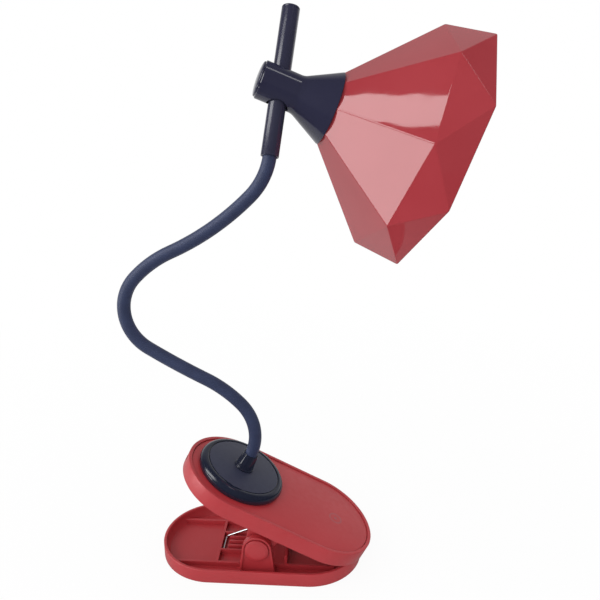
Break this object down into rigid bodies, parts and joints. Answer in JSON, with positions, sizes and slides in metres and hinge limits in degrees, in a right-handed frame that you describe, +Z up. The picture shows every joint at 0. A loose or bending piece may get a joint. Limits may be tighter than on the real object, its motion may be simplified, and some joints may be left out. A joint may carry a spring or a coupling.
{
  "type": "clip-on reading lamp",
  "caption": "Red clip-on reading lamp with a sprung clip, a dark bendable gooseneck, a cross rod and an eight-sided faceted shade.",
  "frame": {"origin": "centre of the clip's standing face, on the underside of the base pad", "axes": "+Z up from the standing face; +X along the clip from the finger end to the biting end; +Y across the clip, away from the side with the front pivot cap"},
  "size_m": [0.1965, 0.1317, 0.3107],
  "materials": {
    "shell_red": "satin, fine grain",
    "shade_red": "high gloss",
    "black_gloss": "gloss",
    "silicone_navy": "matt, soft touch",
    "steel": "plain",
    "spring_chrome": "bright",
    "rubber_dark": "matt",
    "bush_plastic": "matt",
    "cable_black": "matt",
    "circuit_board": "satin",
    "led_board_white": "satin",
    "battery_film": "satin",
    "aluminium": "as cast",
    "opal_plastic": "frosted"
  },
  "bodies": {
    "lower_jaw": {"lower_jaw": "shell_red", "base_pad": "rubber_dark", "pivot_pin": "steel", "pivot_cap_front": "shell_red", "pivot_cap_back": "shell_red", "clip_spring": "spring_chrome"},
    "upper_jaw": {"upper_jaw": "shell_red", "cover_plate": "shell_red", "mounting_disc": "black_gloss", "neck_socket": "black_gloss", "disc_nut": "steel", "cover_screw_1": "steel", "cover_screw_2": "steel", "cover_screw_3": "steel", "cover_screw_4": "steel", "battery": "battery_film", "control_board": "circuit_board", "touch_spring": "steel", "charging_board": "circuit_board", "usb_port": "steel", "jaw_lead": "cable_black", "neck_sleeve_1": "silicone_navy", "neck_core_1": "steel"},
    "neck_2": {"neck_sleeve_2": "silicone_navy", "neck_core_2": "steel"},
    "neck_3": {"neck_sleeve_3": "silicone_navy", "neck_core_3": "steel"},
    "neck_4": {"neck_sleeve_4": "silicone_navy", "neck_core_4": "steel"},
    "neck_5": {"neck_sleeve_5": "silicone_navy", "neck_core_5": "steel"},
    "neck_6": {"neck_sleeve_6": "silicone_navy", "neck_core_6": "steel"},
    "rod": {"neck_sleeve_7": "silicone_navy", "neck_core_7": "steel", "rod_tube": "black_gloss", "rod_cap": "black_gloss", "rod_lead": "cable_black"},
    "slide": {"slide_bush": "bush_plastic"},
    "head": {"head_housing": "black_gloss", "barrel_cap": "black_gloss", "shade": "shade_red", "heat_sink": "aluminium", "led_board": "led_board_white", "diffuser": "opal_plastic", "head_screw_1": "steel", "head_screw_2": "steel", "head_screw_3": "steel", "head_lead": "cable_black"}
  },
  "joints": [
    {"name": "clip_squeeze", "type": "hinge", "parent": "lower_jaw", "child": "upper_jaw", "pos_m": [-0.0004, 0, 0.0186], "axis": [0, -1, 0], "range_deg": [0, 50], "stiffness_Nm_per_rad": 0.7, "springref_deg": -40.11, "deforming": ["clip_spring"]},
    {"name": "neck_bend_1", "type": "hinge", "parent": "upper_jaw", "child": "neck_2", "pos_m": [-0.01105, 0.00033, 0.09819], "axis": [0.0028, 0.9998, -0.0195], "range_deg": [-30, 30]},
    {"name": "neck_bend_2", "type": "hinge", "parent": "neck_2", "child": "neck_3", "pos_m": [-0.03087, 0.00078, 0.11304], "axis": [0.4493, 0.0177, 0.8932], "range_deg": [-30, 30]},
    {"name": "neck_bend_3", "type": "hinge", "parent": "neck_3", "child": "neck_4", "pos_m": [-0.06246, 0.00156, 0.13068], "axis": [-0.0113, -0.9996, 0.0255], "range_deg": [-30, 30]},
    {"name": "neck_bend_4", "type": "hinge", "parent": "neck_4", "child": "neck_5", "pos_m": [-0.06777, 0.0028, 0.17105], "axis": [-0.7276, 0.0316, 0.6852], "range_deg": [-30, 30]},
    {"name": "neck_bend_5", "type": "hinge", "parent": "neck_5", "child": "neck_6", "pos_m": [-0.04728, 0.00319, 0.18579], "axis": [0.0024, 0.9992, -0.0402], "range_deg": [-30, 30]},
    {"name": "neck_bend_6", "type": "hinge", "parent": "neck_6", "child": "rod", "pos_m": [-0.00395, 0.00472, 0.21597], "axis": [0.707, -0.0274, -0.7067], "range_deg": [-30, 30]},
    {"name": "head_slide", "type": "slide", "parent": "rod", "child": "slide", "axis": [0.1185, 0.342, 0.9322], "range_m": [-0.02, 0.026]},
    {"name": "head_swivel", "type": "hinge", "parent": "slide", "child": "head", "pos_m": [0.01038, 0.02185, 0.26984], "axis": [0.1185, 0.342, 0.9322], "range_deg": [-90, 90]}
  ]
}
